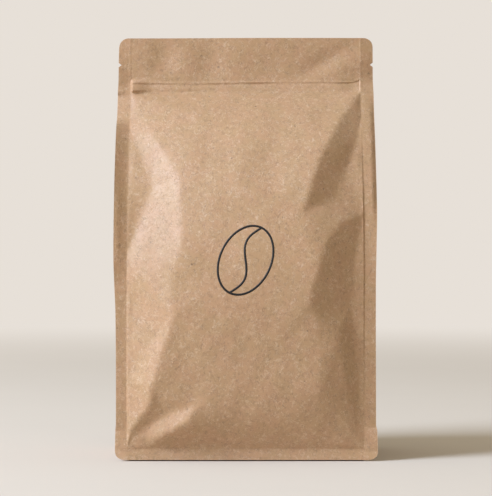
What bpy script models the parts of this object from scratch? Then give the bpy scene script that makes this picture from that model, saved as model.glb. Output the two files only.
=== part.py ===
# A filled flat-bottomed coffee bag of kraft paper, closed by a press zipper under its top seal.
# The sheets, side gussets and base are sealed together along thin fins, so it is one solid.
# Metres, +Z up. The front faces -Y, and the origin is the middle of the base.
import math

import bmesh
import bpy
from mathutils import Vector
from mathutils.geometry import delaunay_2d_cdt

WIDTH = 0.129  # of the front and back sheets, from fin tip to fin tip
HEIGHT = 0.210
FIN = 0.0066  # width of the sealed fins down the upright edges
HEM = 0.0056  # height of the sealed fins round the base
SHEET = 0.0005  # thickness of a fin
CORNER = 0.0045  # radius of the sheets' corners
LEAF = 0.0375  # width of one leaf of a side gusset, from its seam to its middle fold
SWELL = 0.003  # how far the coffee pushes a gusset leaf outward
ZIPPER_FOOT = 0.182  # below this height the front and back sheets part
NOTCH_HEIGHT = 0.1965  # of the tear notches in the fins
NOTCH_DEPTH = 0.0015
NOTCH_SPAN = 0.0022
BASE_RIM = 0.009  # width of the channel between the base's fins and its flat middle
FRONT_COLUMNS = 28
BACK_COLUMNS = 20
LEAF_COLUMNS = 4
ROW = 0.0046  # the usual step from one ring of points to the next
MM = 0.001

SEAM = WIDTH / 2 - FIN

# Half the bag's depth at its upright seams, as (height, half depth).
DEPTH_AT = (
    (0.0, 0.0330),
    (0.045, 0.0342),
    (0.090, 0.0344),
    (0.125, 0.0288),
    (0.155, 0.0170),
    (0.178, 0.0040),
    (0.188, 0.00055),
    (0.210, 0.00045),
)

# How far the filled sheet stands out from its seams, in millimetres, as (x, height, rise).
# Each name is a corner where folds meet, and the sheet is flat or gently bent between them.
FOLD_POINTS = {
    "seamTopLeft": (-57.9, 182, 0),
    "seamTopRight": (57.9, 182, 0),
    "hemLeft": (-57.9, 6, 0),
    "hemRight": (57.9, 6, 0),
    "leftTuckTop": (-57.9, 164, 0),
    "leftTuckIn": (-46, 134, 0.7),
    "leftTuckFoot": (-57.9, 102, 0),
    "leftRidgeTop": (-45, 159, 3.8),
    "leftShoulder": (-32, 137, 7.6),
    "leftFlank": (-31.5, 103, 9.1),
    "leftWaist": (-36, 88, 9.4),
    "leftHip": (-35, 72, 12.2),
    "leftRidgeLow": (-45.5, 38, 9.6),
    "leftRidgeFoot": (-46.6, 28, 7.7),
    "leftHeel": (-51.5, 20.6, 4.3),
    "leftKink": (-57.9, 39, 0.5),
    "leftSpike": (-56.4, 12.8, 1.3),
    "leftGrooveLow": (-48.4, 11.5, 1.1),
    "leftGroove": (-46.3, 18.5, 2),
    "leftGrooveHigh": (-39, 23.5, 4.7),
    "leftGrooveEnd": (-27, 27, 8.9),
    "lowRidgeTip": (-47.3, 6.8, 0.4),
    "lowRidge": (-39, 13.4, 6),
    "lowRidgeHigh": (-29.5, 18.5, 9.4),
    "lowRidgeEnd": (-25.5, 24, 10),
    "rightRidgeTop": (48, 169, 5.8),
    "rightRidge": (38.5, 152, 10.4),
    "rightRidgeLow": (32, 136, 11.3),
    "rightRidgeTip": (28, 121, 11.5),
    "rightTuckTop": (57.9, 170, 0),
    "rightTuck": (54.5, 155, 0.4),
    "rightTuckMiddle": (49.5, 142, 0.7),
    "rightTuckLow": (43, 128, 3.6),
    "rightSpike": (57.9, 121, 0.7),
    "rightCheek": (47, 116, 7),
    "rightFlank": (39.5, 107, 10.3),
    "rightWaist": (35, 93, 11.8),
    "rightHip": (31, 78, 12.2),
    "rightHipLow": (34, 71.5, 11),
    "rightThigh": (45, 61, 7.9),
    "rightFootHigh": (53, 98, 0.7),
    "rightFoot": (51.5, 76, 1.1),
    "rightLow": (36, 31, 9.5),
    "rightHem": (55, 12, 0.8),
    "middleLeftTop": (-24, 171, 6.2),
    "middleRightTop": (24, 171, 6.2),
    "middleTop": (0, 158, 7.2),
    "middleHigh": (0, 130, 10.4),
    "middle": (0, 90, 11.9),
    "middleLow": (2, 45, 11.9),
    "hemMiddle": (2, 20, 7.9),
    "hemRightHigh": (28, 22, 7.4),
}

# Folds that stay straight between two or more of those corners.
FOLD_LINES = (
    ("seamTopLeft", "leftRidgeTop", "leftShoulder", "leftFlank", "leftWaist", "leftHip"),
    ("leftHip", "leftRidgeLow", "leftRidgeFoot", "leftHeel", "leftSpike"),
    ("leftTuckTop", "leftTuckIn", "leftTuckFoot"),
    ("leftGrooveLow", "leftGroove", "leftGrooveHigh", "leftGrooveEnd"),
    ("lowRidgeTip", "lowRidge", "lowRidgeHigh", "lowRidgeEnd"),
    ("seamTopRight", "rightRidgeTop", "rightRidge", "rightRidgeLow", "rightRidgeTip"),
    ("rightTuckTop", "rightTuck", "rightTuckMiddle", "rightTuckLow", "rightRidgeTip"),
    ("rightSpike", "rightCheek", "rightFlank", "rightWaist", "rightHip", "rightHipLow", "rightThigh"),
    ("rightLow", "rightHem"),
    ("lowRidgeEnd", "hemMiddle", "hemRightHigh", "rightHem"),
)


def clearScene():
    for oldObject in list(bpy.data.objects):
        bpy.data.objects.remove(oldObject, do_unlink=True)


def kraftPaper():
    material = bpy.data.materials.new("kraft_paper")
    material.use_nodes = True
    shader = material.node_tree.nodes["Principled BSDF"]
    shader.inputs["Base Color"].default_value = (0.48, 0.29, 0.155, 1.0)
    shader.inputs["Roughness"].default_value = 0.82
    shader.inputs["Metallic"].default_value = 0.0
    return material


def smoothStep(low, high, value):
    share = min(max((value - low) / (high - low), 0.0), 1.0)
    return share * share * (3.0 - 2.0 * share)


def between(low, high, share):
    return low + (high - low) * share


def halfDepth(height):
    # A smooth line through DEPTH_AT that never overshoots its points.
    slopes = [
        (b[1] - a[1]) / (b[0] - a[0]) for a, b in zip(DEPTH_AT, DEPTH_AT[1:])
    ]
    leans = [slopes[0]]
    for before, after in zip(slopes, slopes[1:]):
        same = before * after > 0.0
        leans.append(2.0 * before * after / (before + after) if same else 0.0)
    leans.append(slopes[-1])
    step = 0
    while step < len(slopes) - 1 and height > DEPTH_AT[step + 1][0]:
        step += 1
    (lowHeight, lowDepth), (highHeight, highDepth) = DEPTH_AT[step], DEPTH_AT[step + 1]
    span = highHeight - lowHeight
    t = (height - lowHeight) / span
    return (
        (1 + 2 * t) * (1 - t) ** 2 * lowDepth
        + t * (1 - t) ** 2 * span * leans[step]
        + t * t * (3 - 2 * t) * highDepth
        + t * t * (t - 1) * span * leans[step + 1]
    )


def foldTriangles():
    # The folded sheet as triangles of (x, height, rise), in metres.
    names = list(FOLD_POINTS)
    flat = [Vector((x, height)) * MM for x, height, rise in FOLD_POINTS.values()]
    edges = [
        (names.index(a), names.index(b))
        for line in FOLD_LINES
        for a, b in zip(line, line[1:])
    ]
    found = delaunay_2d_cdt(flat, edges, [], 0, 1e-7)
    places, faces, origins = found[0], found[2], found[3]
    rises = [FOLD_POINTS[names[origin[0]]][2] * MM for origin in origins]
    return [[(places[k].x, places[k].y, rises[k]) for k in face] for face in faces]


def rise(triangles, x, height):
    # How far the sheet stands out at one place: zero on and outside its seams.
    for a, b, c in triangles:
        area = (b[0] - a[0]) * (c[1] - a[1]) - (c[0] - a[0]) * (b[1] - a[1])
        u = ((b[0] - x) * (c[1] - height) - (c[0] - x) * (b[1] - height)) / area
        v = ((c[0] - x) * (a[1] - height) - (a[0] - x) * (c[1] - height)) / area
        if min(u, v, 1.0 - u - v) > -1e-6:
            return u * a[2] + v * b[2] + (1.0 - u - v) * c[2]
    return 0.0


def tipReach(height):
    # Half the sheet's width at one height, with its rounded corners and tear notches.
    reach = WIDTH / 2
    fromEnd = min(height, HEIGHT - height)
    if fromEnd < CORNER:
        reach += math.sqrt(CORNER**2 - (CORNER - fromEnd) ** 2) - CORNER
    fromNotch = abs(height - NOTCH_HEIGHT)
    if fromNotch < NOTCH_SPAN / 2:
        reach -= NOTCH_DEPTH * (1.0 - fromNotch / (NOTCH_SPAN / 2))
    return reach


def rowHeights():
    turn = [CORNER * (1.0 - math.cos(math.radians(a))) for a in (0, 22, 45, 68, 90)]
    notch = [NOTCH_HEIGHT + NOTCH_SPAN / 2 * side for side in (-1, 0, 1)]
    fixed = turn + [HEM, ZIPPER_FOOT] + notch + [HEIGHT - z for z in reversed(turn)]
    heights = [fixed[0]]
    for target in fixed[1:]:
        start = heights[-1]
        steps = max(1, round((target - start) / ROW))
        heights += [between(start, target, k / steps) for k in range(1, steps + 1)]
    return heights


def gussetLeaf(height):
    # From the front seam, inward to the gusset's middle fold: a list of (x, y).
    depth = halfDepth(height)
    tuck = math.sqrt(max(LEAF**2 - depth**2, 0.0)) * smoothStep(0.0, 0.05, height)
    tuck = between(tuck, 0.004, smoothStep(0.178, 0.190, height))
    swell = SWELL * (1.0 - smoothStep(0.11, 0.17, height)) * smoothStep(HEM, 0.03, height)
    points = []
    for k in range(LEAF_COLUMNS + 1):
        share = k / LEAF_COLUMNS
        x = SEAM - tuck * share + swell * math.sin(math.pi * share)
        points.append((x, (SHEET / 2 - depth) * (1.0 - share)))
    return points


def sheetRow(triangles, columns, height, side, mirror):
    # One row of a sheet from its left fin tip to its right one, as (x, y).
    reach = tipReach(height)
    depth = halfDepth(height) + SHEET / 2
    across = [-reach, -between(SEAM, reach, 0.5)]
    across += [between(-SEAM, SEAM, k / columns) for k in range(columns + 1)]
    across += [between(SEAM, reach, 0.5), reach]
    return [(x, side * (depth + rise(triangles, x * mirror, height))) for x in across]


def ring(triangles, height):
    # The outline at one height, anticlockwise from above, from the left tip of the front sheet.
    reach = tipReach(height)
    finBack = halfDepth(height) - SHEET / 2
    front = sheetRow(triangles, FRONT_COLUMNS, height, -1, 1)
    back = sheetRow(triangles, BACK_COLUMNS, height, 1, -1)
    leaf = gussetLeaf(height)
    inward = [(reach, -finBack), (between(SEAM, reach, 0.5), -finBack)] + leaf
    right = inward + [(x, -y) for x, y in reversed(inward[:-1])]
    left = [(-x, y) for x, y in reversed(right)]
    return [Vector((x, y, height)) for x, y in front + right + back[::-1] + left]


def baseRing(inset, height):
    # A loop inside the base's fins, with a point for each column of the sheets and leaves.
    halfX = SEAM - SHEET - inset
    halfY = halfDepth(0.0) - SHEET / 2 - inset
    front = [(between(-halfX, halfX, k / FRONT_COLUMNS), -halfY) for k in range(FRONT_COLUMNS)]
    right = [
        (halfX, between(-halfY, halfY, k / (2 * LEAF_COLUMNS))) for k in range(2 * LEAF_COLUMNS)
    ]
    loop = front + right
    loop += [(-x, -y) for x, y in loop]
    return [Vector((x, y, height)) for x, y in loop]


def joinLoops(bm, low, high):
    for k, corner in enumerate(low):
        bm.faces.new((corner, low[(k + 1) % len(low)], high[(k + 1) % len(high)], high[k]))


def loopEdges(bm, loop):
    return [bm.edges.get((a, b)) or bm.edges.new((a, b)) for a, b in zip(loop, loop[1:] + loop[:1])]


def fillFlat(bm, *loops):
    edges = [edge for loop in loops for edge in loopEdges(bm, loop)]
    bmesh.ops.triangle_fill(bm, use_beauty=True, use_dissolve=False, edges=edges)


def pouchMesh():
    triangles = foldTriangles()
    bm = bmesh.new()
    walls = [[bm.verts.new(p) for p in ring(triangles, height)] for height in rowHeights()]
    for low, high in zip(walls, walls[1:]):
        joinLoops(bm, low, high)
    insets = ((0.0, 0.0), (0.0, HEM * 0.9), (BASE_RIM / 2, HEM * 0.3), (BASE_RIM, 0.0))
    base = [[bm.verts.new(p) for p in baseRing(*inset)] for inset in insets]
    for low, high in zip(base, base[1:]):
        joinLoops(bm, low, high)
    fillFlat(bm, walls[-1])
    fillFlat(bm, walls[0], base[0])
    fillFlat(bm, base[-1])
    bmesh.ops.recalc_face_normals(bm, faces=bm.faces)
    mesh = bpy.data.meshes.new("pouch")
    bm.to_mesh(mesh)
    bm.free()
    mesh.shade_smooth()
    mesh.set_sharp_from_angle(angle=math.radians(40))
    return mesh


def buildPouch():
    pouch = bpy.data.objects.new("pouch", pouchMesh())
    pouch.data.materials.append(kraftPaper())
    bpy.context.scene.collection.objects.link(pouch)


clearScene()
buildPouch()
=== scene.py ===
import math

import bmesh
import bpy
import numpy as np
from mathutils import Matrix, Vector
from mathutils.geometry import delaunay_2d_cdt


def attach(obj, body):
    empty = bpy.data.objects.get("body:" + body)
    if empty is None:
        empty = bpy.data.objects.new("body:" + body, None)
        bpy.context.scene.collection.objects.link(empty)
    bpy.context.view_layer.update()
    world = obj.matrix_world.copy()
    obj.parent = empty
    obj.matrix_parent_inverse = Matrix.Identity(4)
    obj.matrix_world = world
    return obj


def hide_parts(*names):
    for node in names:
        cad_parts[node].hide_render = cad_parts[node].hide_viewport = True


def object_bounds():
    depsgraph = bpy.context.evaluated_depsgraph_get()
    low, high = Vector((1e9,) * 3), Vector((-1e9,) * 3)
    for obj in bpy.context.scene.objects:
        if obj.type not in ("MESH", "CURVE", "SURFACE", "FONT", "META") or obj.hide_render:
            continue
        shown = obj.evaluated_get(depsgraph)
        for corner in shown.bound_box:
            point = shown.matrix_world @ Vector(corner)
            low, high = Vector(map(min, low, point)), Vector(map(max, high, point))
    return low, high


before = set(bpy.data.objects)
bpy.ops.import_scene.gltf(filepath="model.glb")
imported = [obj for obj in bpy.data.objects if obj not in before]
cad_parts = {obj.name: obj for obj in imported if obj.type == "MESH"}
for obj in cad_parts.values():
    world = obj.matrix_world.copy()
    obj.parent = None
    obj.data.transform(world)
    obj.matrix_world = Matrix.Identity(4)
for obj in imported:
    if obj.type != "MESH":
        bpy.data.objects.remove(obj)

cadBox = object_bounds()
mm = 0.001
print("coffee bag: frame loaded, CAD box", [round(v, 4) for v in (*cadBox[0], *cadBox[1])])


# Shader maths: a Wire wraps one output socket, and an expression on wires adds the nodes.
class Wire:
    def __init__(self, sheet, socket):
        self.sheet = sheet
        self.socket = socket

    def isFlat(self):
        return self.socket.type in {"VALUE", "INT", "BOOLEAN"}

    def maths(self, operation, other, swapped=False):
        pair = (other, self) if swapped else (self, other)
        flat = all(not isinstance(side, Wire) or side.isFlat() for side in pair)
        flat = flat and not any(isinstance(side, (tuple, list)) for side in pair)
        if flat:
            return self.sheet.node("ShaderNodeMath", {"operation": operation}, {0: pair[0], 1: pair[1]})
        sides = [(side,) * 3 if isinstance(side, (int, float)) else side for side in pair]
        return self.sheet.node(
            "ShaderNodeVectorMath", {"operation": operation}, {0: sides[0], 1: sides[1]}
        )

    def __add__(self, other):
        return self.maths("ADD", other)

    def __radd__(self, other):
        return self.maths("ADD", other, True)

    def __sub__(self, other):
        return self.maths("SUBTRACT", other)

    def __rsub__(self, other):
        return self.maths("SUBTRACT", other, True)

    def __mul__(self, other):
        return self.maths("MULTIPLY", other)

    def __rmul__(self, other):
        return self.maths("MULTIPLY", other, True)

    def __truediv__(self, other):
        return self.maths("DIVIDE", other)

    def __pow__(self, other):
        return self.maths("POWER", other)


class Finish:
    # One material and its nodes.

    def __init__(self, name):
        self.material = bpy.data.materials.new(name)
        self.material.use_nodes = True
        self.tree = self.material.node_tree
        self.tree.nodes.clear()
        self.output = self.tree.nodes.new("ShaderNodeOutputMaterial")

    def node(self, kind, settings=None, inputs=None, out=0):
        made = self.tree.nodes.new(kind)
        for key, value in (settings or {}).items():
            setattr(made, key, value)
        for key, value in (inputs or {}).items():
            if isinstance(value, Wire):
                self.tree.links.new(value.socket, made.inputs[key])
            else:
                made.inputs[key].default_value = value
        return Wire(self, made.outputs[out])

    def place(self):
        return self.node("ShaderNodeTexCoord", out="Object")

    def noise(self, vector, scale, detail=2.0, roughness=0.5, distortion=0.0):
        return self.node(
            "ShaderNodeTexNoise", {"noise_dimensions": "3D"},
            {"Vector": vector, "Scale": scale, "Detail": detail,
             "Roughness": roughness, "Distortion": distortion},
        )

    def fade(self, value, low, high, start=0.0, end=1.0):
        return self.node(
            "ShaderNodeMapRange", {"interpolation_type": "SMOOTHSTEP"},
            {"Value": value, "From Min": low, "From Max": high, "To Min": start, "To Max": end},
        )

    def mix(self, share, first, second, blend="MIX"):
        return self.node(
            "ShaderNodeMix", {"data_type": "RGBA", "blend_type": blend},
            {0: share, 6: first, 7: second}, out=2,
        )

    def mark(self, name):
        return self.node("ShaderNodeAttribute", {"attribute_name": name}, out="Fac")

    def finish(self, shader):
        self.tree.links.new(shader.socket, self.output.inputs["Surface"])
        return self.material


# The pouch: its sizes in millimetres, taken from the frame where the frame sets them.
pouch = {
    "width": (cadBox[1].x - cadBox[0].x) / mm,
    "height": (cadBox[1].z - cadBox[0].z) / mm,
    "fin": 6.6,             # width of the sealed fins down the upright edges
    "hem": 5.6,             # height of the sealed fins round the base
    "sheet": 0.36,          # two layers of laminated paper
    "corner": 4.5,
    "leaf": 37.5,           # one leaf of a side gusset, seam to middle fold
    "swell": 3.0,
    "notchHeight": 196.5,
    "notchDepth": 1.5,
    "notchSpan": 2.2,
    "baseRim": 9.0,
    "lift": 0.4,            # the base stands a little below the hem
    "frontStep": 0.9,       # spacing of the mesh across the front
    "backStep": 1.3,
    "leafStep": 1.4,
    "rowStep": 1.0,         # spacing of the other rows
    "fineStep": 0.4,        # spacing of the rows that cross the zipper
    "foldSoftness": 1.00,   # how round the folds are
    "bellySoftness": 4.0,   # and how round they are across the filled middle
    "zipperLow": 183.0,     # lower and upper edges of the press zipper under the paper
    "zipperHigh": 187.6,
    "topSlant": 0.0045,     # the top was sealed a little askew
    "seed": 7,
}
seam = pouch["width"] / 2 - pouch["fin"]

# How far each front fin's outline draws in where the fin bends, as (height, millimetres).
trimAt = {
    "left": (
        (0, 0.6), (6, 0.6), (12, 0.75), (15, 0.85), (17.5, 1.15), (40, 1.2), (70, 1.0), (88, 0.35),
        (103, 0.0), (182, 0.1), (190, 0.4), (200, 0.5), (210, 0.9),
    ),
    "right": (
        (0, -0.1), (6, -0.1), (12, 0.1), (15, 0.25), (17.5, 0.7), (40, 0.8), (70, 0.9), (88, 0.85),
        (103, 0.5), (125, -0.1), (182, -0.1), (190, 0.0), (210, 0.1),
    ),
}

# How far each front fin leans outward to the front at its tip, as (height, millimetres).
leanAt = {
    "left": (
        (0, -0.6), (14, -0.8), (15.2, -0.8), (16.6, 0.4), (40, 0.2), (84, 0.3), (97, 1.7), (120, 3.1),
        (145, 3.2), (164, 2.8), (170, -0.2), (180.5, -0.4), (182.5, 1.0), (195, 0.8), (204, 0.2), (210, 0.0),
    ),
    "right": (
        (0, 0.5), (14, 0.7), (15.2, 0.7), (16.6, -0.6), (60, -0.3), (110, -0.1), (150, -0.7),
        (182, -1.0), (210, -0.7),
    ),
}

# Half the bag's depth at its upright seams, as (height, half depth).
depthAt = (
    (0.0, 33.0), (45.0, 34.2), (90.0, 34.4), (125.0, 28.8),
    (155.0, 17.0), (178.0, 4.0), (188.0, 0.5), (210.0, 0.42),
)

# How far the filled sheet stands out from its seams, as (x, height, rise).
foldPoints = {
    "seamTopLeft": (-57.9, 182, 0),
    "seamTopRight": (57.9, 182, 0),
    "hemLeft": (-57.9, 6, 0),
    "hemRight": (57.9, 6, 0),
    "leftTuckTop": (-57.9, 164, 0),
    "leftTuckIn": (-46, 134, 0.7),
    "leftTuckFoot": (-57.9, 102, 0),
    "leftRidgeTop": (-45, 159, 3.8),
    "leftShoulder": (-32, 137, 7.6),
    "leftFlank": (-31.5, 103, 9.1),
    "leftWaist": (-36, 88, 9.4),
    "leftHip": (-35, 72, 12.2),
    "leftRidgeLow": (-45.5, 38, 9.6),
    "leftRidgeFoot": (-46.6, 28, 7.7),
    "leftHeel": (-51.5, 20.6, 4.3),
    "leftKink": (-57.9, 39, 0.5),
    "leftSpike": (-56.2, 13.8, 2.0),
    "leftHemCorner": (-56.4, 10.5, 0.4),
    "leftGrooveStart": (-53.4, 14, 0.9),
    "leftGrooveLow": (-48.4, 11.5, 1.1),
    "leftGroove": (-46.3, 18.5, 2),
    "leftGrooveHigh": (-39, 23.5, 4.7),
    "leftGrooveEnd": (-27, 27, 8.9),
    "lowRidgeTip": (-47.3, 6.8, 0.4),
    "lowRidge": (-39, 13.4, 6),
    "lowRidgeHigh": (-29.5, 18.5, 9.4),
    "lowRidgeEnd": (-25.5, 24, 10),
    "rightRidgeTop": (48, 169, 5.8),
    "rightRidge": (38.5, 152, 10.4),
    "rightRidgeLow": (32, 136, 11.3),
    "rightRidgeTip": (28, 121, 11.5),
    "rightTuckTop": (57.9, 170, 0),
    "rightTuck": (54.5, 155, 0.4),
    "rightTuckMiddle": (49.5, 142, 0.7),
    "rightTuckLow": (43, 128, 3.6),
    "rightSpike": (57.9, 121, 0.7),
    "rightCheek": (47, 116, 7),
    "rightFlank": (39.5, 107, 10.3),
    "rightWaist": (35, 93, 11.8),
    "rightHip": (31, 78, 12.2),
    "rightHipLow": (34, 71.5, 11),
    "rightThigh": (45, 61, 7.9),
    "rightFootHigh": (53, 98, 0.7),
    "rightFoot": (51.5, 76, 1.1),
    "rightLow": (36, 31, 9.5),
    "rightHem": (55, 12, 0.8),
    "middleLeftTop": (-24, 171, 6.2),
    "middleRightTop": (24, 171, 6.2),
    "middleTop": (0, 158, 8.4),
    "middleHigh": (0, 130, 11.3),
    "middle": (0, 90, 11.9),
    "middleLow": (2, 45, 11.9),
    "hemMiddle": (2, 20, 7.9),
    "hemRightHigh": (28, 22, 7.4),
}

# Folds that stay straight between two or more of those corners.
foldLines = (
    ("seamTopLeft", "leftRidgeTop", "leftShoulder", "leftFlank", "leftWaist", "leftHip"),
    ("leftHip", "leftRidgeLow", "leftRidgeFoot", "leftHeel", "leftSpike"),
    ("leftTuckTop", "leftTuckIn", "leftTuckFoot"),
    ("leftGrooveLow", "leftGroove", "leftGrooveHigh", "leftGrooveEnd"),
    ("lowRidgeTip", "lowRidge", "lowRidgeHigh", "lowRidgeEnd"),
    ("seamTopRight", "rightRidgeTop", "rightRidge", "rightRidgeLow", "rightRidgeTip"),
    ("rightTuckTop", "rightTuck", "rightTuckMiddle", "rightTuckLow", "rightRidgeTip"),
    ("rightSpike", "rightCheek", "rightFlank", "rightWaist", "rightHip", "rightHipLow", "rightThigh"),
    ("rightLow", "rightHem"),
    ("lowRidgeEnd", "hemMiddle", "hemRightHigh", "rightHem"),
)


def smooth(low, high, value):
    share = np.clip((value - low) / (high - low), 0.0, 1.0)
    return share * share * (3.0 - 2.0 * share)


def between(low, high, share):
    return low + (high - low) * share


def smoothLine(points, at):
    # A smooth line through the points that never overshoots them.
    x = np.array([p[0] for p in points], float)
    y = np.array([p[1] for p in points], float)
    slope = np.diff(y) / np.diff(x)
    lean = np.concatenate([[slope[0]], np.zeros(len(slope) - 1), [slope[-1]]])
    for k in range(1, len(slope)):
        if slope[k - 1] * slope[k] > 0:
            lean[k] = 2 * slope[k - 1] * slope[k] / (slope[k - 1] + slope[k])
    k = np.clip(np.searchsorted(x, at, side="right") - 1, 0, len(slope) - 1)
    span = x[k + 1] - x[k]
    t = np.clip((at - x[k]) / span, 0.0, 1.0)
    return (
        (1 + 2 * t) * (1 - t) ** 2 * y[k] + t * (1 - t) ** 2 * span * lean[k]
        + t * t * (3 - 2 * t) * y[k + 1] + t * t * (t - 1) * span * lean[k + 1]
    )


def blur(grid, radius):
    # A round blur, one axis at a time. radius is in cells.
    reach = int(radius * 3) + 1
    weights = np.exp(-0.5 * (np.arange(-reach, reach + 1) / radius) ** 2)
    weights /= weights.sum()
    for axis in (0, 1):
        edge = [(reach, reach) if k == axis else (0, 0) for k in (0, 1)]
        padded = np.pad(grid, edge, mode="edge")
        length = grid.shape[axis]
        grid = sum(
            w * np.take(padded, range(k, k + length), axis=axis) for k, w in enumerate(weights)
        )
    return grid


class Relief:
    # The folded sheet as a fine grid of rises, read at any place.

    cell = 0.4

    def __init__(self, mirrored, share):
        self.xs = np.arange(-66.0, 66.01, self.cell)
        self.zs = np.arange(-2.0, 212.01, self.cell)
        x, z = np.meshgrid(self.xs, self.zs)
        self.x, self.z = (-x if mirrored else x), z
        sharp = self.folded() * share
        soft = blur(sharp, pouch["foldSoftness"] / self.cell)
        middle = smooth(seam, seam - 3.0, np.abs(x)) * smooth(6.0, 9.0, z) * smooth(182.0, 179.0, z)
        wide = blur(sharp, pouch["bellySoftness"] / self.cell)
        calm = smooth(27, 15, np.abs(self.x + 1)) * smooth(180, 172, z)
        foot = smooth(36, 28, z) * smooth(-24, -16, self.x) * smooth(52, 42, self.x)
        calm = np.maximum(calm, foot) * smooth(8, 13, z)
        rise = between(between(sharp, soft, middle), wide, calm)
        self.rise = rise + (self.waves() + self.dents()) * middle

    def folded(self):
        names = list(foldPoints)
        flat = [Vector(foldPoints[name][:2]) for name in names]
        pairs = [
            (names.index(a), names.index(b)) for line in foldLines for a, b in zip(line, line[1:])
        ]
        found = delaunay_2d_cdt(flat, pairs, [], 0, 1e-4)
        places, faces, origins = found[0], found[2], found[3]
        rises = [foldPoints[names[origin[0]]][2] for origin in origins]
        height = np.zeros_like(self.x)
        for face in faces:
            a, b, c = (places[k] for k in face)
            area = (b.x - a.x) * (c.y - a.y) - (c.x - a.x) * (b.y - a.y)
            u = ((b.x - self.x) * (c.y - self.z) - (c.x - self.x) * (b.y - self.z)) / area
            v = ((c.x - self.x) * (a.y - self.z) - (a.x - self.x) * (c.y - self.z)) / area
            within = np.minimum(np.minimum(u, v), 1 - u - v) > -1e-6
            worth = u * rises[face[0]] + v * rises[face[1]] + (1 - u - v) * rises[face[2]]
            height = np.where(within, worth, height)
        return height

    def waves(self):
        # Faint unevenness that handling leaves in the paper.
        chance = np.random.default_rng(pouch["seed"])
        total = np.zeros_like(self.x)
        for length, depth in ((47.0, 0.12), (23.0, 0.07), (12.0, 0.035), (6.5, 0.014)):
            for turn in chance.uniform(0, math.pi, 3):
                across = self.x * math.cos(turn) + self.z * math.sin(turn)
                bend = 0.35 * length * np.sin((self.x - self.z) / (2.3 * length) + turn * 5)
                total += depth * np.sin((across + bend) * 2 * math.pi / length + turn * 9)
        return total

    def dents(self):
        return sum(hollow(self.x, self.z, *dent) for dent in bellyDents)

    def read(self, grid, x, z):
        column = np.clip((x - self.xs[0]) / self.cell, 0, len(self.xs) - 1.001)
        row = np.clip((z - self.zs[0]) / self.cell, 0, len(self.zs) - 1.001)
        i, j = row.astype(int), column.astype(int)
        s, t = row - i, column - j
        top = grid[i, j] * (1 - t) + grid[i, j + 1] * t
        low = grid[i + 1, j] * (1 - t) + grid[i + 1, j + 1] * t
        return top * (1 - s) + low * s


def tipReach(height, side):
    # Half the sheet's width at one height, with its round corners and tear notches.
    reach = pouch["width"] / 2 - smoothLine(trimAt[side], height)
    corner = pouch["corner"]
    fromEnd = np.minimum(height, pouch["height"] - height)
    turned = np.sqrt(np.maximum(corner**2 - (corner - np.minimum(fromEnd, corner)) ** 2, 0))
    reach = reach + np.where(fromEnd < corner, turned - corner, 0.0)
    half = pouch["notchSpan"] / 2
    bite = np.clip(1 - np.abs(height - pouch["notchHeight"]) / half, 0, 1)
    return reach - pouch["notchDepth"] * bite


def rowHeights():
    corner = pouch["corner"]
    turn = [corner * (1 - math.cos(math.radians(a))) for a in (0, 12, 25, 38, 50, 62, 75, 90)]
    notch = [pouch["notchHeight"] + pouch["notchSpan"] / 2 * k / 2 for k in (-2, -1, 0, 1, 2)]
    zipper = [pouch["zipperLow"] - 2, pouch["zipperHigh"] + 2]
    fixed = turn + [pouch["hem"], 7.0] + zipper + notch + [pouch["height"] - z for z in reversed(turn)]
    heights = [fixed[0]]
    for target in fixed[1:]:
        start = heights[-1]
        fine = start >= zipper[0] and target <= zipper[1] or target == 7.0
        steps = max(1, round((target - start) / pouch["fineStep" if fine else "rowStep"]))
        heights += [between(start, target, k / steps) for k in range(1, steps + 1)]
    return np.array(heights)


def finCurl(front, x, height, out):
    # How far a fin leans out to the front, from its seam (0) to its tip (1).
    if front:
        lean = np.where(x < 0, smoothLine(leanAt["left"], height), smoothLine(leanAt["right"], height))
        edge = np.where(
            x < 0,
            -0.5 * smooth(92, 104, height) * smooth(140, 126, height),
            -1.3 * smooth(112, 132, height) * smooth(182, 164, height),
        )
    else:
        lean = 0.3 * np.sin(height / 27.0 + np.sign(x))
        edge = 0.2 * np.sin(height / 11.0 + np.sign(x))
    return lean * out**1.3 + edge * smooth(0.72, 1.0, out)


def hollow(x, z, cx, cz, wide, high, turn, depth):
    c, s = math.cos(math.radians(turn)), math.sin(math.radians(turn))
    along, up = (x - cx) * c + (z - cz) * s, (z - cz) * c - (x - cx) * s
    return -depth * np.exp(-0.5 * ((along / wide) ** 2 + (up / high) ** 2))


# Soft dents, as (x, height, half width, half height, turn in degrees, depth).
bellyDents = (
    (14, 148, 7, 15, -14, 0.75),
    (-14, 160, 8, 12, 20, 0.45),
    (-6, 118, 9, 14, 10, 0.3),
    (20, 60, 10, 18, -8, 0.35),
    (-30, 52, 6, 16, 12, 0.35),
    (-53, 78, 3.0, 5.0, 0, 0.8),
    (36, 172, 9, 5, -20, 0.4),
)
topDents = (
    (-41, 200, 5, 6, 8, 1.3),
    (-18, 197, 5, 7, 10, 1.1),
    (39, 197.5, 13, 3.0, 29, 1.0),
    (15, 196, 9, 5, 5, 0.6),
    (-5, 203, 9, 5, 0, -0.4),
    (49, 193, 8, 5, 20, -0.6),
    (-52, 190, 6, 3, 0, 0.3),
)


def topSway(x, height):
    # The flat top bends a little as one, front and back together.
    sway = 0.35 * np.sin(x / 31.0 + 0.6) + 0.12 * np.sin(x / 12.0 + height / 9.0)
    for cx, cz, wide, high, turn, depth in topDents:
        sway = sway - hollow(x, height, cx, cz, wide, high, turn, depth)
    bow = 0.0007 * np.maximum(x, 0) ** 2
    return (sway + bow) * smooth(180, 192, height)


def askew(x, height):
    # The top seal lies a little aslant, so the upper part is sheared.
    return height + pouch["topSlant"] * x * smooth(120, 186, height)


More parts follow.
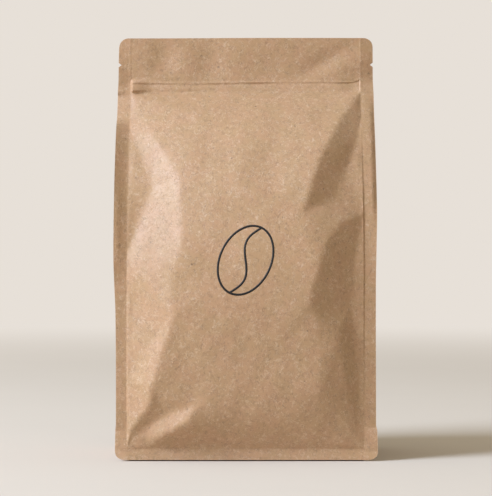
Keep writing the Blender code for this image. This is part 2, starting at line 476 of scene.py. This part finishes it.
def sheetRows(relief, heights, step, front):
    # Rows of a sheet from its left fin tip to its right, as x, y and marks.
    leftReach, rightReach = (tipReach(heights, side)[:, None] for side in ("left", "right"))
    z = heights[:, None]
    edge = seam - np.array([0.0, 0.35, 0.7, 1.1, 1.6])
    columns = round(2 * (edge[-1] - 0.8) / step)
    middle = np.linspace(-edge[-1] + 0.8, edge[-1] - 0.8, columns + 1)
    inner = np.concatenate([-edge, middle, edge[::-1]])[None, :]
    fins = np.array([1.0, 0.94, 0.86, 0.74, 0.58, 0.40, 0.24, 0.12, 0.05])[None, :]
    left = -(seam + (leftReach - seam) * fins)
    right = seam + (rightReach - seam) * fins[:, ::-1]
    x = np.concatenate([left, np.repeat(inner, len(heights), 0), right], 1)
    z = np.repeat(z, x.shape[1], 1)
    out = np.clip((np.abs(x) - seam) / pouch["fin"], 0, 1)
    depth = smoothLine(depthAt, z) + pouch["sheet"] / 2
    rise = relief.read(relief.rise, x, z) + sealLines(x, z)
    y = -(depth + rise + finCurl(front, x, z, out))
    if not front:
        y = -y
    return x, y + topSway(x, z), z, len(fins[0])


def sealLines(x, z):
    # The jaws of the heat seal leave a fine welt along each seam, and a step above the hem.
    welt = 0.11 * smooth(181, 186, z) * np.exp(-0.5 * ((np.abs(x) - seam - 0.3) / 0.33) ** 2)
    panel = 0.12 * smooth(9.0, 7.0, z) * smooth(5.3, 6.1, z)
    panel = panel + 1.0 * smooth(6.0, -1.0, z)
    return welt + panel


def zipperRelief(x, z):
    # The press zipper shows through the paper as a band between two sharp lines.
    low, high = pouch["zipperLow"], pouch["zipperHigh"]
    upward = 1.3 * smooth(54.5, 57.6, x) + 0.25 * np.sin(x / 17.0)
    top = z - high - upward
    lip = 0.46 * np.exp(-0.5 * (top / 0.34) ** 2) - 0.38 * np.exp(-0.5 * ((top + 1.0) / 0.46) ** 2)
    strip = 0.14 * smooth(-0.2, 0.5, z - low) * smooth(0.4, -0.4, top)
    foot = z - low + 0.12 * np.sin(x / 9.0)
    crease = -0.34 * np.exp(-0.5 * (foot / 0.65) ** 2) + 0.16 * np.exp(-0.5 * ((foot + 1.6) / 0.7) ** 2)
    ends = smooth(seam + 0.2, seam - 1.2, np.abs(x))
    faint = 0.62 + 0.38 * np.sin(x / 5.3 + 0.7) * np.sin(x / 13.1 + 0.4)
    worn = 0.6 + 0.4 * np.sin(x / 7.7 + 2.0) * np.sin(x / 17.0)
    # The band bulges at its left end and sinks at its right one.
    band = smooth(181.8, 183.6, z) * smooth(189.6, 187.0, z)
    pinch = 2.1 * smooth(-46.5, -56.8, x) * band - 0.9 * smooth(47.5, 56.5, x) * band
    return ends * (lip * faint + strip + crease * worn + pinch)


def gussetLeaf(height, columns):
    # From the front seam inward to the gusset's middle fold, for each height.
    depth = smoothLine(depthAt, height)
    tuck = np.sqrt(np.maximum(pouch["leaf"] ** 2 - depth**2, 0)) * smooth(0, 50, height)
    tuck = between(tuck, 4.0, smooth(178, 190, height))
    swell = pouch["swell"] * (1 - smooth(110, 170, height)) * smooth(pouch["hem"], 30, height)
    share = np.linspace(0, 1, columns + 1)[None, :]
    x = seam - tuck[:, None] * share + swell[:, None] * np.sin(math.pi * share)
    y = (pouch["sheet"] / 2 - depth)[:, None] * (1 - share)
    return x, y


def pouchMesh():
    heights = rowHeights()
    frontRelief, backRelief = Relief(False, 1.0), Relief(True, 0.92)
    fx, fy, fz, fins = sheetRows(frontRelief, heights, pouch["frontStep"], True)
    fy = fy - zipperRelief(fx, fz)
    bx, by, bz, _ = sheetRows(backRelief, heights, pouch["backStep"], False)
    by = by + zipperRelief(bx, bz)
    leafColumns = round(pouch["leaf"] / pouch["leafStep"])
    lx, ly = gussetLeaf(heights, leafColumns)
    thickness = pouch["sheet"]
    lean = topSway(lx, heights[:, None])

    def finBack(sheetX, sheetY, toFront, rightSide):
        # The hidden face of a fin, from its tip to its seam.
        columns = slice(-fins, None) if rightSide else slice(0, fins)
        x, y = sheetX[:, columns], sheetY[:, columns] + (thickness if toFront else -thickness)
        return (x[:, ::-1], y[:, ::-1]) if rightSide else (x, y)

    frx, fry = finBack(fx, fy, True, True)
    brx, bry = finBack(bx, by, False, True)
    flx, fly = finBack(fx, fy, True, False)
    blx, bly = finBack(bx, by, False, False)
    rightX = [frx, lx, lx[:, -2::-1], brx[:, ::-1]]
    rightY = [fry, ly + lean, (-ly + lean)[:, -2::-1], bry[:, ::-1]]
    leanLeft = topSway(-lx, heights[:, None])
    leftX = [blx, -lx, -lx[:, -2::-1], flx[:, ::-1]]
    leftY = [bly, -ly + leanLeft, (ly + leanLeft)[:, -2::-1], fly[:, ::-1]]
    ringX = np.concatenate([fx, *rightX, bx[:, ::-1], *leftX], 1)
    ringY = np.concatenate([fy, *rightY, by[:, ::-1], *leftY], 1)
    rows, around = ringX.shape
    level = np.repeat(heights[:, None], around, 1)
    ringZ = askew(ringX, level) + pouch["lift"] * smooth(3.0, 0.0, level)
    points = np.stack([ringX, ringY, ringZ], 2).reshape(-1, 3)
    k = np.arange(around)
    n = (k + 1) % around
    quads = np.concatenate(
        [np.stack([r * around + k, r * around + n, (r + 1) * around + n, (r + 1) * around + k], 1)
         for r in range(rows - 1)]
    )
    mesh = bpy.data.meshes.new("pouch_skin")
    mesh.from_pydata((points * mm).tolist(), [], quads.tolist())
    # Cut edges are painted paler, partly for the pale core of the cut paper and partly as a painted
    # highlight: the fin tips, the hem's edge and the top.
    front = fx.shape[1]
    start = front + sum(part.shape[1] for part in rightX)
    end = start + bx.shape[1]
    tips = [0, front - 1, front, start - 1, start, end - 1, end, around - 1]
    cutEdgeHighlight = np.zeros((rows, around))
    cutEdgeHighlight[:, tips] = 1.0
    cutEdgeHighlight[0, :] = 1.0
    cutEdgeHighlight[-1, :] = 1.0
    mesh.attributes.new("cutEdgeHighlight", "FLOAT", "POINT").data.foreach_set("value", cutEdgeHighlight.ravel())
    bm = bmesh.new()
    bm.from_mesh(mesh)
    bm.verts.ensure_lookup_table()
    bottom = [bm.verts[i] for i in range(around)]
    top = [bm.verts[(rows - 1) * around + i] for i in range(around)]
    base = baseRings(bm)
    fillFlat(bm, top)
    fillFlat(bm, bottom, base[0])
    fillFlat(bm, base[-1])
    bmesh.ops.recalc_face_normals(bm, faces=bm.faces)
    bm.to_mesh(mesh)
    bm.free()
    mesh.shade_smooth()
    mesh.set_sharp_from_angle(angle=math.radians(42))
    return mesh


def baseRings(bm):
    insets = (
        (0.0, pouch["lift"]), (0.0, 3.0), (0.1, 5.0), (1.0, 4.4), (3.0, 2.6), (5.5, 1.0), (8.0, 0.2),
        (pouch["baseRim"], 0.0),
    )
    thickness = pouch["sheet"]
    rings = []
    for inset, height in insets:
        halfX = seam - thickness - inset
        halfY = smoothLine(depthAt, np.array([0.0]))[0] - thickness / 2 - inset
        across = np.linspace(-halfX, halfX, 61)[:-1]
        deep = np.linspace(-halfY, halfY, 33)[:-1]
        loop = [(x, -halfY) for x in across] + [(halfX, y) for y in deep]
        loop += [(-x, -y) for x, y in loop]
        rings.append([bm.verts.new((x * mm, y * mm, height * mm)) for x, y in loop])
    for low, high in zip(rings, rings[1:]):
        for k in range(len(low)):
            n = (k + 1) % len(low)
            bm.faces.new((low[k], low[n], high[n], high[k]))
    return rings


def fillFlat(bm, *loops):
    edges = [
        bm.edges.get((a, b)) or bm.edges.new((a, b))
        for loop in loops for a, b in zip(loop, loop[1:] + loop[:1])
    ]
    bmesh.ops.triangle_fill(bm, use_beauty=True, use_dissolve=False, edges=edges)


kraft = {
    "paper": (0.460, 0.281, 0.154, 1.0),
    "pink": (0.474, 0.279, 0.154, 1.0),
    "olive": (0.448, 0.283, 0.146, 1.0),
    "fibreAndHighlight": (0.68, 0.500, 0.350, 1.0),     # loose pale fibres, and the painted highlight with the pale core on the cut edges
    "fibreShare": 0.34,
    "roughness": 0.5,
    "gloss": 0.5,
    "darkShare": 0.19,      # how dark the dark fibres are
    "speckShare": 0.45,     # how dark the specks are
    "edgeHighlightShare": 0.45,      # how far the cut edges are lightened, pale core and painted highlight together
    "grainStrength": 0.5,
    "grainDepth": 0.0004,   # metres
    "fuzz": 0.07,           # pale shine of the loose fibres
    "fuzzSpread": 0.45,
}


def kraftFinish():
    paint = Finish("kraft_paper")
    place = paint.place()

    def curls(scale, width, shift, length=0.5):
        # Thin curled lines, broken into short fibres.
        lines = paint.noise(place + (shift, shift * 0.7, -shift), scale, 0.6, 0.5, 1.2)
        breaks = paint.noise(place + (-shift, shift, shift * 0.4), scale * 0.8, 1.0, 0.5)
        away = paint.node("ShaderNodeMath", {"operation": "ABSOLUTE"}, {0: lines - 0.5})
        return paint.fade(away, width, 0.0) * paint.fade(breaks, length, length + 0.09)

    cloud = paint.noise(place, 42.0, 3.0, 0.6)
    pulp = paint.noise(place, 230.0, 4.0, 0.62, 0.4)
    grain = paint.noise(place, 1300.0, 2.0, 0.6)
    pale = curls(400.0, 0.060, 0.31) + curls(600.0, 0.080, 0.77, 0.48)
    deep = curls(430.0, 0.055, 1.37) + curls(640.0, 0.080, 1.91, 0.48)
    speck = paint.node(
        "ShaderNodeTexVoronoi", {"feature": "F1"}, {"Vector": place, "Scale": 150.0, "Randomness": 1.0},
        out="Distance",
    )
    chosen = paint.noise(place + (5.0, 2.0, 1.0), 160.0, 0.0)
    specks = paint.fade(speck, 0.10, 0.05) * paint.fade(chosen, 0.60, 0.66)
    tone = 1.0 + (cloud - 0.5) * 0.10 + (pulp - 0.5) * 0.15 + (grain - 0.5) * 0.16
    tone = tone - deep * kraft["darkShare"] - specks * kraft["speckShare"]
    hue = paint.noise(place + (3.1, 1.7, 0.4), 120.0, 3.0, 0.6)
    tint = paint.mix(paint.fade(hue, 0.36, 0.64), kraft["pink"], kraft["olive"])
    tint = paint.mix(0.65, kraft["paper"], tint)
    shade = paint.node("ShaderNodeCombineColor", None, {0: tone, 1: tone, 2: tone})
    colour = paint.mix(1.0, tint, shade, "MULTIPLY")
    colour = paint.mix(pale * kraft["fibreShare"], colour, kraft["fibreAndHighlight"])
    # Painted highlight: the cut edges are mixed towards the pale colour, together with their pale paper
    # core.
    edge = paint.mark("cutEdgeHighlight")
    colour = paint.mix(edge * kraft["edgeHighlightShare"], colour, kraft["fibreAndHighlight"])
    relief = pulp * 0.5 + grain * 0.25 + pale * 0.25 - deep * 0.15
    bump = paint.node(
        "ShaderNodeBump", None,
        {"Strength": kraft["grainStrength"], "Distance": kraft["grainDepth"], "Height": relief},
    )
    rough = kraft["roughness"] + (pulp - 0.5) * 0.14
    shader = paint.node(
        "ShaderNodeBsdfPrincipled", None,
        {"Base Color": colour, "Roughness": rough, "Specular IOR Level": kraft["gloss"],
         "Sheen Weight": kraft["fuzz"], "Sheen Roughness": kraft["fuzzSpread"], "Normal": bump},
    )
    return paint.finish(shader)


def makePouch():
    mesh = pouchMesh()
    skin = bpy.data.objects.new("pouch_skin", mesh)
    bpy.context.scene.collection.objects.link(skin)
    mesh.materials.append(kraftFinish())
    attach(skin, "root")
    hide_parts("pouch")
    print("coffee bag: paper skin made,", len(mesh.polygons), "faces")
    return skin


# A plain coffee bean drawn in one line, printed on the front. Millimetres.
bean = {
    "wide": 24.5,
    "high": 35.0,
    "tilt": 26.0,           # degrees to the right
    "centre": (0.0, 98.0),
    "line": 1.05,
    "film": 0.03,           # ink standing on the paper
    "crease": 3.6,          # swing of the middle line
    "ink": (0.012, 0.011, 0.010, 1.0),
}


def inkFinish():
    paint = Finish("black_ink")
    place = paint.place()
    cloud = paint.noise(place, 420.0, 3.0, 0.6)
    pores = paint.noise(place + (2.0, 0.0, 1.0), 1500.0, 1.0, 0.5)
    tone = 0.85 + cloud * 0.3 + paint.fade(pores, 0.62, 0.72) * 1.6
    shade = paint.node("ShaderNodeCombineColor", None, {0: tone, 1: tone, 2: tone})
    colour = paint.mix(1.0, bean["ink"], shade, "MULTIPLY")
    rough = 0.55 + (cloud - 0.5) * 0.2
    bump = paint.node("ShaderNodeBump", None, {"Strength": 0.3, "Distance": 0.0002, "Height": cloud})
    return paint.finish(paint.node(
        "ShaderNodeBsdfPrincipled", None,
        {"Base Color": colour, "Roughness": rough, "Specular IOR Level": 0.3, "Normal": bump},
    ))


class Pattern:
    # A Geometry Nodes tree, its named inputs and their sockets.
    def __init__(self, name, inputs):
        self.tree = bpy.data.node_groups.new(name, "GeometryNodeTree")
        self.tree.interface.new_socket("Geometry", in_out="OUTPUT", socket_type="NodeSocketGeometry")
        self.sockets = {}
        for label, (kind, value) in inputs.items():
            socket = self.tree.interface.new_socket(label, in_out="INPUT", socket_type=kind)
            self.sockets[label] = (socket.identifier, value)
        self.entry = self.tree.nodes.new("NodeGroupInput")

    def given(self, label):
        return Wire(self, self.entry.outputs[label])

    node = Finish.node

    def close(self, geometry, ink):
        whole = self.node("GeometryNodeRealizeInstances", None, {0: geometry})
        painted = self.node("GeometryNodeSetMaterial", None, {"Geometry": whole, "Material": ink})
        end = self.tree.nodes.new("NodeGroupOutput")
        self.tree.links.new(painted.socket, end.inputs[0])

    def grow(self, name):
        # Runs the tree on an empty mesh and returns the outcome as a plain object.
        made = bpy.data.objects.new(name, bpy.data.meshes.new(name))
        bpy.context.scene.collection.objects.link(made)
        steps = made.modifiers.new("pattern", "NODES")
        steps.node_group = self.tree
        for identifier, value in self.sockets.values():
            steps[identifier] = value
        graph = bpy.context.evaluated_depsgraph_get()
        mesh = bpy.data.meshes.new_from_object(made.evaluated_get(graph), depsgraph=graph)
        made.modifiers.remove(steps)
        made.data = mesh
        return made


def makeBean(skin):
    pattern = Pattern("bean_line", {
        "Skin": ("NodeSocketObject", skin),
        "Wide": ("NodeSocketFloat", bean["wide"] * mm),
        "High": ("NodeSocketFloat", bean["high"] * mm),
        "Tilt": ("NodeSocketFloat", math.radians(bean["tilt"])),
        "Line": ("NodeSocketFloat", bean["line"] * mm),
        "Film": ("NodeSocketFloat", bean["film"] * mm),
        "Crease": ("NodeSocketFloat", bean["crease"] * mm),
        "Centre": ("NodeSocketVector", (bean["centre"][0] * mm, 0.0, bean["centre"][1] * mm)),
    })
    wide, high = pattern.given("Wide"), pattern.given("High")

    def along(count, cyclic):
        # A curve of so many points, each with its share of the way along.
        if cyclic:
            curve = pattern.node("GeometryNodeCurvePrimitiveCircle", None, {"Resolution": count})
        else:
            curve = pattern.node("GeometryNodeCurvePrimitiveLine")
            curve = pattern.node("GeometryNodeResampleCurve", None, {"Curve": curve, "Count": count})
        order = pattern.node("GeometryNodeInputIndex")
        return curve, order / float(count if cyclic else count - 1)

    def placed(curve, x, z):
        spot = pattern.node("ShaderNodeCombineXYZ", None, {0: x, 1: z, 2: 0.0})
        moved = pattern.node("GeometryNodeSetPosition", None, {"Geometry": curve, "Position": spot})
        return pattern.node("GeometryNodeSetCurveNormal", {"mode": "Z_UP"}, {"Curve": moved})

    def wave(kind, value):
        return pattern.node("ShaderNodeMath", {"operation": kind}, {0: value})

    ring, share = along(160, True)
    angle = share * (2 * math.pi)
    ring = placed(ring, wide * 0.5 * wave("COSINE", angle), high * 0.5 * wave("SINE", angle))
    middle, share = along(90, False)
    swing = wave("SINE", share * (2 * math.pi)) * pattern.given("Crease")
    middle = placed(middle, swing, (share - 0.5) * high * 0.985)
    lines = pattern.node("GeometryNodeJoinGeometry", None, {0: ring})
    pattern.tree.links.new(middle.socket, lines.socket.node.inputs[0])
    flat = pattern.node(
        "GeometryNodeCurvePrimitiveQuadrilateral", None, {"Width": pattern.given("Line"), "Height": 0.0004}
    )
    band = pattern.node(
        "GeometryNodeCurveToMesh", None, {"Curve": lines, "Profile Curve": flat, "Fill Caps": True}
    )
    turn = pattern.node("ShaderNodeCombineXYZ", None, {0: math.pi / 2, 1: pattern.given("Tilt")})
    band = pattern.node(
        "GeometryNodeTransform", None,
        {"Geometry": band, "Translation": pattern.given("Centre"), "Rotation": turn},
    )
    # Each point of the band falls straight back onto the paper.
    start = pattern.node("GeometryNodeInputPosition")
    parts = pattern.node("ShaderNodeSeparateXYZ", None, {0: start})
    sides = parts.socket.node.outputs
    flown = pattern.node(
        "ShaderNodeCombineXYZ", None, {0: Wire(pattern, sides[0]), 1: -0.2, 2: Wire(pattern, sides[2])}
    )
    skinTaken = {"transform_space": "RELATIVE"}
    sheet = pattern.node("GeometryNodeObjectInfo", skinTaken, {0: pattern.given("Skin")}, out="Geometry")
    hit = pattern.node(
        "GeometryNodeRaycast", None,
        {"Target Geometry": sheet, "Source Position": flown, "Ray Direction": (0.0, 1.0, 0.0),
         "Ray Length": 1.0},
        out="Hit Position",
    )
    near = pattern.node("ShaderNodeMath", {"operation": "SIGN"}, {0: Wire(pattern, sides[1])})
    rise = near * pattern.given("Film")
    lift = pattern.node("ShaderNodeCombineXYZ", None, {1: rise})
    band = pattern.node("GeometryNodeSetPosition", None, {"Geometry": band, "Position": hit + lift})
    pattern.close(band, inkFinish())
    line = pattern.grow("bean_line")
    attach(line, "root")
    print("coffee bag: bean drawn,", len(line.data.polygons), "faces")


# The setting: a pale floor, one large soft lamp and an even sky.
setting = {
    "paper": (0.800, 0.745, 0.685, 1.0),    # the pale ground behind the bag
    "floor": (0.645, 0.595, 0.530, 1.0),
    "bounce": (0.80, 0.72, 0.615, 1.0),      # what the floor throws back onto the bag
    "floorReach": 30.0,
    "fadeStart": 0.55,
    "fadeEnd": 1.7,
    "skyHigh": 1.15,        # strength of the sky overhead and at the horizon
    "skyLow": 0.0,
    "lampPower": 114.0,
    "lampSize": 1.35,
    "lampDistance": 3.0,
    "lampTurn": 61.0,       # degrees to the left of the front
    "lampRise": 33.0,       # degrees above the floor
    "cameraDistance": 1.0,
    "cameraHeight": 0.1039,
    "cameraAside": 0.0002,
    "cameraLens": 143.6,
}


def floorFinish():
    paint = Finish("pale_floor")
    place = paint.place()
    mottle = paint.noise(place, 9.0, 3.0, 0.5)
    shade = 0.985 + mottle * 0.03
    shade = paint.node("ShaderNodeCombineColor", None, {0: shade, 1: shade, 2: shade})
    tint = paint.mix(1.0, setting["floor"], shade, "MULTIPLY")
    rays = paint.node("ShaderNodeLightPath").socket.node.outputs
    seen = Wire(paint, rays["Is Camera Ray"]) + Wire(paint, rays["Is Glossy Ray"])
    seen = seen + Wire(paint, rays["Is Transmission Ray"])
    tint = paint.mix(seen, setting["bounce"], tint)
    lit = paint.node("ShaderNodeBsdfDiffuse", None, {"Color": tint})
    plain = paint.node("ShaderNodeEmission", None, {"Color": setting["paper"], "Strength": 1.0})
    away = paint.node("ShaderNodeVectorMath", {"operation": "LENGTH"}, {0: place}, out="Value")
    far = paint.fade(away, setting["fadeStart"], setting["fadeEnd"])
    return paint.finish(paint.node("ShaderNodeMixShader", None, {0: far * seen, 1: lit, 2: plain}))


def makeFloor():
    bm = bmesh.new()
    bmesh.ops.create_circle(bm, cap_ends=True, segments=64, radius=setting["floorReach"])
    mesh = bpy.data.meshes.new("floor")
    bm.to_mesh(mesh)
    bm.free()
    floor = bpy.data.objects.new("floor", mesh)
    floor.location.z = -0.0002
    bpy.context.scene.collection.objects.link(floor)
    mesh.materials.append(floorFinish())


def makeSky():
    world = bpy.data.worlds.new("even_sky")
    bpy.context.scene.world = world
    world.use_nodes = True
    tree = world.node_tree
    tree.nodes.clear()
    output = tree.nodes.new("ShaderNodeOutputWorld")
    light = tree.nodes.new("ShaderNodeBackground")
    light.inputs["Color"].default_value = (1.0, 0.90, 0.73, 1.0)
    place = tree.nodes.new("ShaderNodeTexCoord")
    parts = tree.nodes.new("ShaderNodeSeparateXYZ")
    rise = tree.nodes.new("ShaderNodeMapRange")
    tree.links.new(place.outputs["Generated"], parts.inputs[0])
    tree.links.new(parts.outputs["Z"], rise.inputs["Value"])
    rise.inputs["From Min"].default_value = 0.40
    rise.inputs["From Max"].default_value = 1.0
    rise.inputs["To Min"].default_value = setting["skyLow"]
    rise.inputs["To Max"].default_value = setting["skyHigh"]
    tree.links.new(rise.outputs[0], light.inputs["Strength"])
    seen = tree.nodes.new("ShaderNodeBackground")
    seen.inputs["Color"].default_value = setting["paper"]
    path = tree.nodes.new("ShaderNodeLightPath")
    share = path.outputs["Is Camera Ray"]
    for kind in ("Is Glossy Ray", "Is Transmission Ray"):
        total = tree.nodes.new("ShaderNodeMath")
        tree.links.new(share, total.inputs[0])
        tree.links.new(path.outputs[kind], total.inputs[1])
        share = total.outputs[0]
    mix = tree.nodes.new("ShaderNodeMixShader")
    tree.links.new(share, mix.inputs[0])
    tree.links.new(light.outputs[0], mix.inputs[1])
    tree.links.new(seen.outputs[0], mix.inputs[2])
    tree.links.new(mix.outputs[0], output.inputs["Surface"])


def makeLamp():
    data = bpy.data.lights.new("soft_lamp", "AREA")
    data.shape = "DISK"
    data.size = setting["lampSize"]
    data.energy = setting["lampPower"]
    data.color = (0.89, 1.0, 1.20)
    lamp = bpy.data.objects.new("soft_lamp", data)
    turn, rise = math.radians(setting["lampTurn"]), math.radians(setting["lampRise"])
    aim = Vector((0.0, 0.0, 0.10))
    out = Vector((-math.sin(turn) * math.cos(rise), -math.cos(turn) * math.cos(rise), math.sin(rise)))
    lamp.location = aim + out * setting["lampDistance"]
    lamp.rotation_euler = out.to_track_quat("Z", "Y").to_euler()
    bpy.context.scene.collection.objects.link(lamp)


def makeCamera():
    data = bpy.data.cameras.new("camera")
    data.lens = setting["cameraLens"]
    camera = bpy.data.objects.new("camera", data)
    camera.location = (setting["cameraAside"], -setting["cameraDistance"], setting["cameraHeight"])
    camera.rotation_euler = (math.radians(90), 0.0, 0.0)
    bpy.context.scene.collection.objects.link(camera)
    bpy.context.scene.camera = camera
    bpy.context.scene.view_settings.view_transform = "Standard"


makeCamera()
makeSky()
makeLamp()
makeFloor()
print("coffee bag: setting made")
skin = makePouch()
makeBean(skin)
